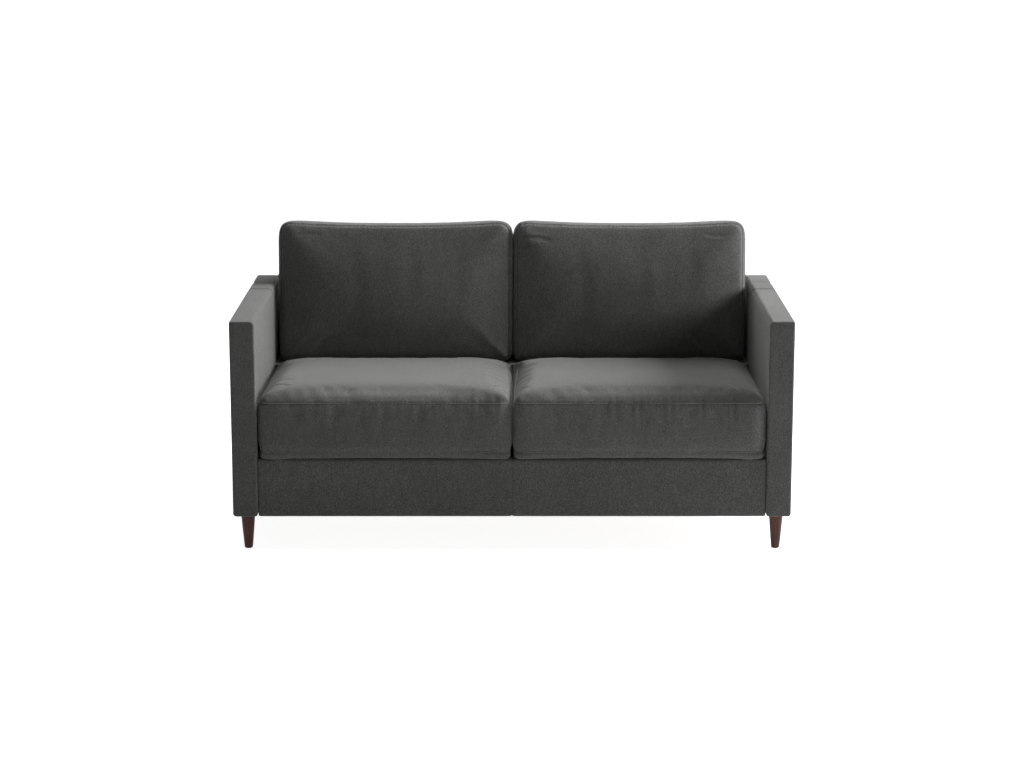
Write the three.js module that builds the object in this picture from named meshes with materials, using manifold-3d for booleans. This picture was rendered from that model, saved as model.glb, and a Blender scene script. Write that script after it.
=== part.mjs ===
// Two-seat sleeper sofa with a folding bed whose end section carries the seat cushions.
// Row frame: X to the right, Y to the back, Z up, origin on the floor under the middle, millimetres.
import * as THREE from "three";
import { mergeVertices } from "three/addons/utils/BufferGeometryUtils.js";
import Module from "manifold-3d";

const half = (length) => length / 2;

// overall sizes
const overallWidth = 1655;
const overallDepth = 880;
const fitGap = 0.3; // left between faces that touch
const underHeight = 106; // floor to the underside of arms, back and front rail
const armTop = 694;
const armThickness = 74.5;
const armLength = 574;
const armEdgeRadius = 12;
const returnSetIn = 14; // the back unit's sides are this much thinner than the arms
const returnEdgeRadius = 14;
const backPanelThickness = 52;
const panelEdgeRadius = 12;

// legs under the sofa
const legTopRadius = 19.3;
const legFootRadius = 11.8;
const legSetBack = 45; // leg centre behind the arm's front, and in front of the sofa's back
const legPlateThickness = 2.7;
const legPlateSide = 58;
const legSideOffset = 40.5; // leg centre in from the outer side of the arm
const legSegments = 24;

// bed sections: hinge lines seen from the side
const tubeSide = 20;
const tubeWall = 1.5;
const halfTube = half(tubeSide);
const mattressThickness = 66;
const mattressBesideEar = 1; // free space between a mattress edge and the ears
const headLength = 236;
const kneeLength = 154;
const headPivotHeight = 352;
const headAxisToPanel = 13; // head hinge line in front of the back panel
const frontAxisSetBack = 19; // front hinge lines behind the arm's front
const footShorter = 162; // foot section shorter than the body section
const hingeClear = 14; // tubes stop this far from a hinge line

// frame rails of the bed
const tubeToArm = 48; // side tubes in from the arms
const slatWidth = 46;
const slatThickness = 6;
const earThickness = 4;
const earRadius = 7.5;
const earLap = 34; // how far an ear laps along its tube
const pinRadius = 4;
const pinClearance = 0.06;
const pinSegments = 20;
const pivotTubeIn = 5; // pivot tube ends in from the side tubes
const railSideGap = 2;
const railSkin = 1.8; // front rail left in front of a hinge plate
const railEarRoom = 2; // free space beside the ears inside the front rail
const headCrossRise = 4;
const bodySlats = 5;
const footSlats = 4;
const footCrossIn = 21; // rear cross tube in from the foot end
const stretcherHeight = 23.7;
const stretcherDepth = 24;
const stretcherSetBack = 178; // stretcher centre behind the arm's front
const stretcherEndIn = 27;

// side rails and parallel links
const pocketFront = 30; // arm material left in front of the pocket
const pocketTop = 378;
const sideRailThickness = 3;
const sideRailHeight = 45;
const sideRailRise = 23; // side rail's top above its pivots
const sideRailFrontReach = 35; // side rail in front of the link pivot
const linkPivotSetBack = 290; // link pivot behind the arm's front
const linkThickness = 5;
const linkHalfWidth = 10;
const linkFromRail = 1.7;
const linkPinLap = 12; // how far a link's lower pin enters the side tube

// legs of the bed's foot end
const bedLegRadius = 8;
const bedLegCapRadius = 9.7;
const bedLegCapLength = 16;
const bedLegFloorGap = 2; // cap above the floor when the bed is open
const bedLegPivotIn = 17; // leg pivot in from the side tube
const bedLegPinLength = 14;
const bedLegBehindTube = 2.2;
const bedLegHeel = 5; // leg beyond its pivot

// cushions
const centreGap = 7; // between the two cushions of a row
const cushionToArm = 4;
const seatFrontProud = 5; // seat cushions in front of the arms
const seatTop = 452;
const seatRoll = 32; // the top rolls up this much from its edge seam
const seatRollReach = 60; // within this distance of the edge
const seatLips = [24, 38, 60]; // grid lines over the roll
const seatCrown = 4; // further rise to the middle
const seatRearFall = 20; // the top's rear below its front
const seatEdgeRadius = 15;
const seatDrawIn = 3;
const backToSeat = 6; // back cushions behind the seat cushions
const backTop = 872;
const backLean = 46; // the front face's top behind its bottom
const backCrown = 16;
const backTopPeak = 12; // the top's outer corners above its middle
const backTopTilt = 26; // the top's rear edge below its front edge
const backHeel = 30; // back cushion's lower rear edge in front of the back panel
const backEdgeRadius = 24;
const backDrawIn = 5;

// ledge that the back cushions stand on
const ledgeTop = 441;
const ledgeThickness = 10;
const ledgeToFoot = 2; // ledge behind the foot section

// places worked out from the sizes
const sideX = half(overallWidth);
const frontY = seatFrontProud - half(overallDepth);
const rearY = half(overallDepth);
const armInner = sideX - armThickness;
const returnInner = armInner + returnSetIn;
const armRear = frontY + armLength;
const panelFront = rearY - backPanelThickness;
const headAxis = { y: panelFront - headAxisToPanel, z: headPivotHeight };
const tailAxis = { y: headAxis.y, z: headPivotHeight - headLength };
const lowFrontAxis = { y: frontY + frontAxisSetBack, z: tailAxis.z };
const highFrontAxis = { y: lowFrontAxis.y, z: lowFrontAxis.z + kneeLength };
const footSectionLength = tailAxis.y - lowFrontAxis.y - footShorter;
const footEnd = highFrontAxis.y + footSectionLength;
const seatRear = footEnd - footCrossIn;
const backFront = seatRear + backToSeat;
const ledgeFront = footEnd + ledgeToFoot;
const cushionOuter = armInner - cushionToArm;
const seatHalfWidth = half(cushionOuter - half(centreGap));
const seatHalfDepth = half(seatRear - frontY + seatFrontProud);
const sideTubeOuter = armInner - tubeToArm;
const innerFace = halfTube + fitGap; // where the mattress starts, from the hinge plane
const mattressFace = halfTube + mattressThickness;
const sideTubeInner = sideTubeOuter - tubeSide;
const mattressHalfWidth = sideTubeInner - earThickness - mattressBesideEar;
const headPivotTubeHalf = sideTubeOuter - pivotTubeIn;
const bedLegPivotX = sideTubeInner - bedLegPivotIn;
const bedLegReach = headPivotHeight - bedLegFloorGap;
const kneePlateOuter = sideTubeOuter + fitGap + earThickness;
const railHalf = armInner - railSideGap;
const boreRadius = pinRadius + pinClearance;
const linkTop = { y: frontY + linkPivotSetBack, z: headAxis.z };
const linkLow = { y: linkTop.y, z: tailAxis.z };

const group = new THREE.Group();
group.name = "sleeper_sofa";
const wasm = await Module();
wasm.setup();

const tones = {
  fabric: 0x4a4a4b,
  wood: 0x35211b,
  timber: 0xb89468,
  steel: 0x3c3f42,
  zinc: 0x9a9c9e,
  ticking: 0xe9e6de,
  rubber: 0x1c1c1c,
};

// Adds one named mesh with a material of its own.
function addNode(name, geometry, tone) {
  const clean = geometry.clone();
  clean.deleteAttribute("normal");
  clean.deleteAttribute("uv");
  const welded = mergeVertices(clean, 1e-4);
  welded.computeVertexNormals();
  const material = new THREE.MeshStandardMaterial({ color: tones[tone] });
  const mesh = new THREE.Mesh(welded, material);
  mesh.name = name;
  group.add(mesh);
}

function toSolid(geometry) {
  const clean = geometry.clone();
  clean.deleteAttribute("normal");
  clean.deleteAttribute("uv");
  const welded = mergeVertices(clean, 1e-4);
  const mesh = new wasm.Mesh({
    numProp: 3,
    vertProperties: new Float32Array(welded.attributes.position.array),
    triVerts: new Uint32Array(welded.index.array),
  });
  return new wasm.Manifold(mesh);
}

function toGeometry(solid) {
  const mesh = solid.getMesh();
  const geometry = new THREE.BufferGeometry();
  geometry.setAttribute("position", new THREE.BufferAttribute(new Float32Array(mesh.vertProperties), 3));
  geometry.setIndex(new THREE.BufferAttribute(new Uint32Array(mesh.triVerts), 1));
  return geometry;
}

const join = (...geometries) => toGeometry(geometries.map(toSolid).reduce((a, b) => a.add(b)));
const cut = (base, ...tools) => toGeometry(tools.map(toSolid).reduce((a, b) => a.subtract(b), toSolid(base)));

// Plain box between two corners.
function box(x, y, z) {
  const geometry = new THREE.BoxGeometry(x[1] - x[0], y[1] - y[0], z[1] - z[0]);
  geometry.translate(half(x[0] + x[1]), half(y[0] + y[1]), half(z[0] + z[1]));
  return geometry;
}

// Grid stops along one edge: rounded corner stops at both ends, stops at each lip distance from
// the ends, and even stops between.
function edgeStops(low, high, radius, cornerSteps, middleSteps, lips) {
  const stops = [];
  for (let i = cornerSteps; i > 0; i -= 1) {
    stops.push(low + radius - radius * Math.tan((i / cornerSteps) * (Math.PI / 4)));
  }
  const inset = lips.length ? lips[lips.length - 1] : radius;
  if (lips.length) stops.push(low + radius, ...lips.slice(0, -1).map((lip) => low + lip));
  for (let i = 0; i <= middleSteps; i += 1) {
    stops.push(low + inset + ((high - low - 2 * inset) * i) / middleSteps);
  }
  if (lips.length) stops.push(...lips.slice(0, -1).map((lip) => high - lip).reverse(), high - radius);
  for (let i = 1; i <= cornerSteps; i += 1) {
    stops.push(high - radius + radius * Math.tan((i / cornerSteps) * (Math.PI / 4)));
  }
  return stops;
}

// Box with rounded edges. Its grid points are pulled onto a ball of the edge radius that rolls
// inside the box, and shape() may then move each point by its place in the box, -1 to 1 each way.
function softBox({
  x, y, z, radius, cornerSteps = 2, middle = [1, 1, 1], lips = [[], [], []], shape = null,
}) {
  const ends = [x, y, z];
  const stops = ends.map((end, axis) =>
    edgeStops(end[0], end[1], radius, cornerSteps, middle[axis], lips[axis]));
  const positions = [];
  const place = (point) => {
    const core = point.map((value, axis) =>
      Math.min(Math.max(value, ends[axis][0] + radius), ends[axis][1] - radius));
    const away = point.map((value, axis) => value - core[axis]);
    const length = Math.hypot(...away);
    const on = core.map((value, axis) => value + (away[axis] * radius) / length);
    if (!shape) return on;
    const unit = on.map((value, axis) =>
      (value - half(ends[axis][0] + ends[axis][1])) / half(ends[axis][1] - ends[axis][0]));
    return shape(on, unit);
  };
  for (let axis = 0; axis < 3; axis += 1) {
    const u = (axis + 1) % 3;
    const v = (axis + 2) % 3;
    for (const side of [0, 1]) {
      for (let i = 0; i + 1 < stops[u].length; i += 1) {
        for (let j = 0; j + 1 < stops[v].length; j += 1) {
          const corner = (a, b) => {
            const point = [0, 0, 0];
            point[axis] = ends[axis][side];
            point[u] = stops[u][a];
            point[v] = stops[v][b];
            return place(point);
          };
          const ring = [corner(i, j), corner(i + 1, j), corner(i + 1, j + 1), corner(i, j + 1)];
          if (!side) ring.reverse();
          positions.push(...ring[0], ...ring[1], ...ring[2], ...ring[0], ...ring[2], ...ring[3]);
        }
      }
    }
  }
  const geometry = new THREE.BufferGeometry();
  geometry.setAttribute("position", new THREE.BufferAttribute(new Float32Array(positions), 3));
  return mergeVertices(geometry, 1e-3);
}

// Side profile, given as y and z points, drawn out along x.
function alongX(points, x, hole = null) {
  const outline = new THREE.Shape(points.map(([y, z]) => new THREE.Vector2(y, z)));
  if (hole) outline.holes.push(new THREE.Path(hole.map(([y, z]) => new THREE.Vector2(y, z))));
  const geometry = new THREE.ExtrudeGeometry(outline, { depth: x[1] - x[0], bevelEnabled: false });
  geometry.applyMatrix4(new THREE.Matrix4().makeBasis(
    new THREE.Vector3(0, 1, 0), new THREE.Vector3(0, 0, 1), new THREE.Vector3(1, 0, 0)));
  geometry.translate(x[0], 0, 0);
  return geometry;
}

// Square tube, open at both ends, along axis 0 (x), 1 (y) or 2 (z).
function squareTube(x, y, z, axis) {
  const ends = [x, y, z];
  const inner = ends.map((end, other) =>
    other === axis ? [end[0] - 1, end[1] + 1] : [end[0] + tubeWall, end[1] - tubeWall]);
  return cut(box(x, y, z), box(...inner));
}

// Round bar along x between two places, centred on a side-view point.
function pinAlongX(at, x, radius, segments = pinSegments) {
  const geometry = new THREE.CylinderGeometry(radius, radius, x[1] - x[0], segments);
  geometry.rotateZ(Math.PI / 2);
  geometry.translate(half(x[0] + x[1]), at.y, at.z);
  return geometry;
}

// Flat bar seen from the side: a slot shape of one radius round two points.
function slotPoints(from, to, radius, steps = 8) {
  const lead = Math.atan2(to.z - from.z, to.y - from.y);
  const points = [];
  for (let i = 0; i <= steps; i += 1) {
    const turn = lead - Math.PI / 2 + (Math.PI * i) / steps;
    points.push([to.y + radius * Math.cos(turn), to.z + radius * Math.sin(turn)]);
  }
  for (let i = 0; i <= steps; i += 1) {
    const turn = lead + Math.PI / 2 + (Math.PI * i) / steps;
    points.push([from.y + radius * Math.cos(turn), from.z + radius * Math.sin(turn)]);
  }
  return points;
}

// x range on one side of the sofa: side is -1 on the left, 1 on the right.
const onSide = (side, near, far) => (side < 0 ? [-far, -near] : [near, far]);
const sides = [["left", -1], ["right", 1]];

// sofa body
for (const [word, side] of sides) {
  const arm = softBox({
    x: onSide(side, armInner, sideX),
    y: [frontY, armRear],
    z: [underHeight, armTop],
    radius: armEdgeRadius,
  });
  const pocket = box(
    onSide(side, armInner - armThickness, returnInner),
    [frontY + pocketFront, armRear + armThickness],
    [0, pocketTop],
  );
  addNode(`arm_${word}`, cut(arm, pocket), "fabric");
  addNode(`back_return_${word}`, softBox({
    x: onSide(side, returnInner, sideX),
    y: [armRear + fitGap, rearY],
    z: [underHeight, armTop],
    radius: returnEdgeRadius,
  }), "fabric");
  const rail = box(
    onSide(side, returnInner - fitGap - sideRailThickness, returnInner - fitGap),
    [frontY + linkPivotSetBack - sideRailFrontReach, headAxis.y + halfTube],
    [headAxis.z + sideRailRise - sideRailHeight, headAxis.z + sideRailRise],
  );
  const through = [returnInner - armThickness, returnInner + armThickness];
  addNode(`side_rail_${word}`, cut(rail,
    pinAlongX(headAxis, onSide(side, ...through), boreRadius),
    pinAlongX(linkTop, onSide(side, ...through), boreRadius)), "steel");
}

addNode("back_panel", softBox({
  x: [-returnInner + fitGap, returnInner - fitGap],
  y: [panelFront, rearY],
  z: [underHeight, armTop],
  radius: panelEdgeRadius,
}), "fabric");
addNode("cushion_ledge", box(
  [-returnInner + fitGap, returnInner - fitGap],
  [ledgeFront, panelFront - fitGap],
  [ledgeTop - ledgeThickness, ledgeTop],
), "fabric");
addNode("cross_stretcher", squareTube(
  [-sideX + stretcherEndIn, sideX - stretcherEndIn],
  [frontY + stretcherSetBack, frontY + stretcherSetBack + stretcherDepth],
  [underHeight - fitGap - stretcherHeight, underHeight - fitGap],
  0,
), "steel");

for (const [word, side] of sides) {
  for (const [end, y] of [["front", frontY + legSetBack], ["rear", rearY - legSetBack]]) {
    const x = side * (sideX - legSideOffset);
    const plateTop = underHeight - fitGap;
    const legTop = plateTop - legPlateThickness - fitGap;
    const leg = new THREE.LatheGeometry([
      new THREE.Vector2(0, 0),
      new THREE.Vector2(legFootRadius, 0),
      new THREE.Vector2(legTopRadius, legTop),
      new THREE.Vector2(0, legTop),
    ], legSegments);
    leg.rotateX(Math.PI / 2);
    leg.translate(x, y, 0);
    addNode(`leg_${end}_${word}`, leg, "wood");
    addNode(`leg_plate_${end}_${word}`, box(
      [x - half(legPlateSide), x + half(legPlateSide)],
      [y - half(legPlateSide), y + half(legPlateSide)],
      [plateTop - legPlateThickness, plateTop],
    ), "zinc");
  }
}

// bed sections
// A section runs from one hinge line to the next. Its mattress is cut at 45 degrees through
// both lines, so that neighbouring pieces close like a mitre when the bed is folded.
const slatHalf = sideTubeInner - fitGap;
const mitre = fitGap + half(fitGap); // each mattress end stands this far off its 45 degree cut
const crossHalf = sideTubeInner - earThickness - fitGap;
const earRoot = halfTube / 20; // ear let into its tube's wall
const outerEarX = [sideTubeOuter - earRoot, sideTubeOuter + earThickness];
const innerEarX = [sideTubeInner - earThickness, sideTubeInner + earRoot];
const hingePinX = [sideTubeInner - earThickness, kneePlateOuter];
const boreX = [sideTubeOuter - earThickness, kneePlateOuter + earThickness];

function mattress(name, outline) {
  addNode(name, alongX(outline, [-mattressHalfWidth, mattressHalfWidth]), "ticking");
}

// Ear on a side tube: a slot-shaped plate round two points.
const ear = (from, to, x) => alongX(slotPoints(from, to, earRadius), x);

// Ear beside the front rail: round at its pin, then a bar on one side of the hinge line only,
// so that it swings behind the rail's cover. rise is 1 for a bar above the line, -1 for below.
function cornerEar(hinge, rise, x) {
  const barZ = rise > 0 ? [hinge.z, hinge.z + earRadius] : [hinge.z - earRadius, hinge.z];
  return join(pinAlongX(hinge, x, earRadius), box(x, [hinge.y, hinge.y + earLap], barZ));
}

// Point some way from another.
const toward = (from, dy, dz) => ({ y: from.y + dy, z: from.z + dz });

// head section: hangs in the back, from the head hinge down to the tail hinge
const pivotTube = new THREE.LatheGeometry([
  new THREE.Vector2(0, fitGap - returnInner),
  new THREE.Vector2(pinRadius, fitGap - returnInner),
  new THREE.Vector2(pinRadius, -headPivotTubeHalf),
  new THREE.Vector2(halfTube, -headPivotTubeHalf),
  new THREE.Vector2(halfTube, headPivotTubeHalf),
  new THREE.Vector2(pinRadius, headPivotTubeHalf),
  new THREE.Vector2(pinRadius, returnInner - fitGap),
  new THREE.Vector2(0, returnInner - fitGap),
], pinSegments);
pivotTube.rotateZ(Math.PI / 2);
pivotTube.translate(0, headAxis.y, headAxis.z);
addNode("head_pivot_tube", pivotTube, "steel");

const headTubeY = [headAxis.y - halfTube, headAxis.y + halfTube];
const headTubeZ = [tailAxis.z + hingeClear, headAxis.z - halfTube - fitGap];
for (const [word, side] of sides) {
  const tube = squareTube(onSide(side, sideTubeInner, sideTubeOuter), headTubeY, headTubeZ, 2);
  const tailEar = ear(tailAxis, toward(tailAxis, 0, earLap), onSide(side, ...outerEarX));
  const bore = pinAlongX(tailAxis, onSide(side, ...boreX), boreRadius);
  addNode(`head_side_${word}`, cut(join(tube, tailEar), bore), "steel");
}
addNode("head_cross", squareTube([-slatHalf, slatHalf], headTubeY,
  [headTubeZ[0] + headCrossRise, headTubeZ[0] + headCrossRise + tubeSide], 0), "steel");
for (const [word, share] of [["lower", 0.45], ["upper", 0.8]]) {
  const middle = tailAxis.z + headLength * share;
  addNode(`head_slat_${word}`, box([-slatHalf, slatHalf],
    [headTubeY[0], headTubeY[0] + slatThickness],
    [middle - half(slatWidth), middle + half(slatWidth)]), "timber");
}
mattress("head_mattress", [
  [headAxis.y - mattressFace, headAxis.z],
  [headAxis.y - mattressFace, tailAxis.z + mattressFace + mitre],
  [headAxis.y - innerFace, tailAxis.z + innerFace + mitre],
  [headAxis.y - innerFace, headAxis.z],
]);

// body section: lies over the floor, from the tail hinge to the low front hinge
const bodyTubeZ = [tailAxis.z - halfTube, tailAxis.z + halfTube];
const bodyTubeY = [lowFrontAxis.y + hingeClear, tailAxis.y - hingeClear];
for (const [word, side] of sides) {
  const tube = squareTube(onSide(side, sideTubeInner, sideTubeOuter), bodyTubeY, bodyTubeZ, 1);
  const tailEar = ear(toward(tailAxis, -earLap, 0), tailAxis, onSide(side, ...innerEarX));
  const frontEar = cornerEar(lowFrontAxis, 1, onSide(side, ...innerEarX));
  const tailPin = pinAlongX(tailAxis, onSide(side, ...hingePinX), pinRadius);
  const frontPin = pinAlongX(lowFrontAxis, onSide(side, ...hingePinX), pinRadius);
  const linkBore = pinAlongX(linkLow, onSide(side, ...boreX), boreRadius);
  addNode(`body_side_${word}`,
    cut(join(tube, tailEar, frontEar, tailPin, frontPin), linkBore), "steel");
}
addNode("body_cross_front", squareTube([-crossHalf, crossHalf],
  [bodyTubeY[0], bodyTubeY[0] + tubeSide], bodyTubeZ, 0), "steel");
addNode("body_cross_rear", squareTube([-crossHalf, crossHalf],
  [bodyTubeY[1] - tubeSide, bodyTubeY[1]], bodyTubeZ, 0), "steel");
for (let i = 1; i <= bodySlats; i += 1) {
  const middle = bodyTubeY[0] + ((bodyTubeY[1] - bodyTubeY[0]) * i) / (bodySlats + 1);
  addNode(`body_slat_${i}`, box([-slatHalf, slatHalf],
    [middle - half(slatWidth), middle + half(slatWidth)],
    [bodyTubeZ[1] - slatThickness, bodyTubeZ[1]]), "timber");
}
mattress("body_mattress", [
  [lowFrontAxis.y + innerFace + mitre, tailAxis.z + innerFace],
  [tailAxis.y - innerFace - mitre, tailAxis.z + innerFace],
  [tailAxis.y - mattressFace - mitre, tailAxis.z + mattressFace],
  [lowFrontAxis.y + mattressFace + mitre, tailAxis.z + mattressFace],
]);

// knee section: stands behind the front, and carries the covered front rail
const railShape = slotPoints(lowFrontAxis, highFrontAxis, halfTube, 12);
const plateHollow = slotPoints(lowFrontAxis, highFrontAxis, halfTube - railSkin);
let frontRail = alongX(railShape, [-railHalf, railHalf]);
for (const [, side] of sides) {
  const hollowX = onSide(side, innerEarX[0] - railEarRoom, kneePlateOuter + fitGap);
  frontRail = cut(frontRail, alongX(plateHollow, hollowX), box(hollowX,
    [lowFrontAxis.y, lowFrontAxis.y + tubeSide],
    [lowFrontAxis.z - tubeSide, highFrontAxis.z + tubeSide]));
}
addNode("front_rail", frontRail, "fabric");
for (const [word, side] of sides) {
  const plate = alongX(slotPoints(lowFrontAxis, highFrontAxis, earRadius),
    onSide(side, sideTubeOuter + fitGap, kneePlateOuter));
  addNode(`knee_plate_${word}`, cut(plate,
    pinAlongX(lowFrontAxis, onSide(side, ...boreX), boreRadius),
    pinAlongX(highFrontAxis, onSide(side, ...boreX), boreRadius)), "steel");
}
mattress("knee_mattress", [
  [lowFrontAxis.y + innerFace, lowFrontAxis.z + innerFace + mitre],
  [lowFrontAxis.y + mattressFace, lowFrontAxis.z + mattressFace + mitre],
  [lowFrontAxis.y + mattressFace, highFrontAxis.z - mattressFace - mitre],
  [lowFrontAxis.y + innerFace, highFrontAxis.z - innerFace - mitre],
]);

// foot section: lies under the seat, with the seat cushions on its outer side
const footTubeZ = [highFrontAxis.z - halfTube, highFrontAxis.z + halfTube];
const footTubeY = [highFrontAxis.y + hingeClear, footEnd];
const footCrossRear = [footEnd - footCrossIn - tubeSide, footEnd - footCrossIn];
const bedLegY = footCrossRear[1] + bedLegBehindTube + bedLegRadius;
for (const [word, side] of sides) {
  const tube = squareTube(onSide(side, sideTubeInner, sideTubeOuter), footTubeY, footTubeZ, 1);
  const frontEar = cornerEar(highFrontAxis, -1, onSide(side, ...innerEarX));
  const frontPin = pinAlongX(highFrontAxis, onSide(side, ...hingePinX), pinRadius);
  addNode(`foot_side_${word}`, join(tube, frontEar, frontPin), "steel");
}
addNode("foot_cross_front", squareTube([-crossHalf, crossHalf],
  [footTubeY[0], footTubeY[0] + tubeSide], footTubeZ, 0), "steel");

// Round bar along y, for the pins that the bed's legs turn on.
function pinAlongY(x, y, z, radius) {
  const geometry = new THREE.CylinderGeometry(radius, radius, y[1] - y[0], pinSegments);
  geometry.translate(x, half(y[0] + y[1]), z);
  return geometry;
}
const legBores = sides.map(([, side]) => pinAlongY(side * bedLegPivotX,
  [footCrossRear[1] - earThickness, footCrossRear[1] + earThickness], highFrontAxis.z, boreRadius));
addNode("foot_cross_rear", cut(
  squareTube([-slatHalf, slatHalf], footCrossRear, footTubeZ, 0), ...legBores), "steel");
for (let i = 1; i <= footSlats; i += 1) {
  const middle = footTubeY[0] + ((footCrossRear[1] - footTubeY[0]) * i) / (footSlats + 1);
  addNode(`foot_slat_${i}`, box([-slatHalf, slatHalf],
    [middle - half(slatWidth), middle + half(slatWidth)],
    footTubeZ), "timber");
}
mattress("foot_mattress", [
  [highFrontAxis.y + mattressFace + mitre, highFrontAxis.z - mattressFace],
  [footEnd, highFrontAxis.z - mattressFace],
  [footEnd, highFrontAxis.z - innerFace],
  [highFrontAxis.y + innerFace + mitre, highFrontAxis.z - innerFace],
]);

// legs of the bed's foot end: they lie behind the rear cross tube
for (const [word, side] of sides) {
  const barX = onSide(side, bedLegPivotX - bedLegReach + bedLegCapLength, bedLegPivotX + bedLegHeel);
  const at = { y: bedLegY, z: highFrontAxis.z };
  const pin = pinAlongY(side * bedLegPivotX,
    [footCrossRear[1] - bedLegPinLength, bedLegY], highFrontAxis.z, pinRadius);
  addNode(`bed_leg_${word}`, join(pinAlongX(at, barX, bedLegRadius), pin), "steel");
  const capNear = bedLegPivotX - bedLegReach;
  addNode(`bed_leg_cap_${word}`, pinAlongX(at,
    onSide(side, capNear, capNear + bedLegCapLength - fitGap), bedLegCapRadius), "rubber");
}

// parallel links: each hangs from a side rail and holds the body section level
for (const [word, side] of sides) {
  const outerX = returnInner - fitGap - sideRailThickness - linkFromRail;
  const bar = alongX(slotPoints(linkLow, linkTop, linkHalfWidth),
    onSide(side, outerX - linkThickness, outerX));
  const topPin = pinAlongX(linkTop, onSide(side, outerX - linkThickness, returnInner - fitGap), pinRadius);
  const lowPin = pinAlongX(linkLow, onSide(side, sideTubeOuter - linkPinLap, outerX), pinRadius);
  addNode(`link_${word}`, join(bar, topPin, lowPin), "steel");
}

// cushions
// Share of a swell reached this far in from an edge: it rises fast and levels off.
const swellAt = (distance, reach) => 1 - (1 - Math.min(distance / reach, 1)) ** 2;

for (const [word, side] of sides) {
  const cushionX = onSide(side, half(centreGap), cushionOuter);
  addNode(`seat_cushion_${word}`, softBox({
    x: cushionX,
    y: [frontY - seatFrontProud, seatRear],
    z: [footTubeZ[1] + fitGap, seatTop],
    radius: seatEdgeRadius,
    middle: [4, 3, 2],
    lips: [seatLips, seatLips, []],
    shape: ([x, y, z], [u, v, w]) => [
      x - u * seatDrawIn * (1 - v * v) * (1 - w * w),
      y - Math.min(v, 0) * seatDrawIn * (1 - u * u) * (1 - w * w),
      z + half(1 + w) * (seatCrown * (1 - u * u) * (1 - v * v)
        + (seatRoll - seatRearFall * half(1 + v) ** 2)
        * swellAt((1 - Math.abs(u)) * seatHalfWidth, seatRollReach)
        * swellAt((1 - Math.abs(v)) * seatHalfDepth, seatRollReach)),
    ],
  }), "fabric");
  addNode(`back_cushion_${word}`, softBox({
    x: cushionX,
    y: [backFront, panelFront - backHeel],
    z: [ledgeTop + fitGap, backTop],
    radius: backEdgeRadius,
    middle: [7, 2, 6],
    shape: ([x, y, z], [u, v, w]) => [
      x - u * backDrawIn * (1 - w * w),
      y + backLean * half(1 + w) + Math.min(v, 0) * backCrown * (1 - u * u) * (1 - w * w),
      z + (backTopPeak * u * u - backTopTilt * half(1 + v)) * half(1 + w),
    ],
  }), "fabric");
}

export default group;
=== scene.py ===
import math
import bmesh
import bpy
import numpy as np
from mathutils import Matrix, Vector
from mathutils.bvhtree import BVHTree


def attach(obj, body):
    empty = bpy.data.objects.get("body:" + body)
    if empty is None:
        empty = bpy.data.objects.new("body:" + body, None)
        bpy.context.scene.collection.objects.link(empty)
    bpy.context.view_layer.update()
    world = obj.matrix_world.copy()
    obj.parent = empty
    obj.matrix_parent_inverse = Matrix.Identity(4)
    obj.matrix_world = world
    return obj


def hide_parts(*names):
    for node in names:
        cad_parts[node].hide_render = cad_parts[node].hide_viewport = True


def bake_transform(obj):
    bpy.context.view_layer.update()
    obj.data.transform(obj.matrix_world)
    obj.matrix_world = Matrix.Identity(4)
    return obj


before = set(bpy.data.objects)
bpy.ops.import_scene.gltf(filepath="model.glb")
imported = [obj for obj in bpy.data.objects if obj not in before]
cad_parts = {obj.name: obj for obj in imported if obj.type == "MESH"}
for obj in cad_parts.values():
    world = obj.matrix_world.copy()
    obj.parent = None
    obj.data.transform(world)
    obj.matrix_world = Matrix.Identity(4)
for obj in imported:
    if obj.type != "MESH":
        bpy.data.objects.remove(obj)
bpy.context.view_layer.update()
print("frame loaded")

# lengths below are written in millimetres, and mm scales them to metres
mm = 0.001
sides = (("left", -1), ("right", 1))


# Puts arrays of points and quads into a new object, and merges doubled points.
def makePiece(name, points, faces, material, slot):
    unique, inverse = np.unique(np.round(np.asarray(points, dtype=float), 3), axis=0, return_inverse=True)
    quads = inverse.reshape(-1)[np.asarray(faces)]
    kept = []
    for quad in quads.tolist():
        ring = [v for i, v in enumerate(quad) if v != quad[i - 1]]
        if len(set(ring)) >= 3:
            kept.append(ring)
    mesh = bpy.data.meshes.new(name)
    mesh.from_pydata((unique * mm).tolist(), [], kept)
    mesh.validate()
    mesh.materials.append(material)
    piece = bpy.data.objects.new(name, mesh)
    bpy.context.scene.collection.objects.link(piece)
    shadeSmooth(piece)
    return piece


# Shades every face smoothly. Where an angle is given, edges whose faces meet at more stay sharp.
def shadeSmooth(piece, angle=None):
    mesh = piece.data
    mesh.polygons.foreach_set("use_smooth", [True] * len(mesh.polygons))
    if angle:
        mesh.set_sharp_from_angle(angle=math.radians(angle))


# Recalculates a closed piece's faces so that they point outwards.
def turnOutward(piece):
    shape = bmesh.new()
    shape.from_mesh(piece.data)
    bmesh.ops.recalc_face_normals(shape, faces=shape.faces)
    shape.to_mesh(piece.data)
    shape.free()


# Replaces a piece's mesh by what its modifiers make of it.
def settle(piece):
    bpy.context.view_layer.update()
    depsgraph = bpy.context.evaluated_depsgraph_get()
    made = bpy.data.meshes.new_from_object(piece.evaluated_get(depsgraph))
    piece.modifiers.clear()
    piece.data = made


# Quads of a grid whose rows are loops: rows x columns points, columns joined end to end.
def loopQuads(rows, columns):
    row, column = np.meshgrid(np.arange(rows - 1), np.arange(columns), indexing="ij")
    following = (column + 1) % columns
    quads = np.stack([row * columns + column, row * columns + following,
                      (row + 1) * columns + following, (row + 1) * columns + column], axis=-1)
    return quads.reshape(-1, 4)


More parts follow.
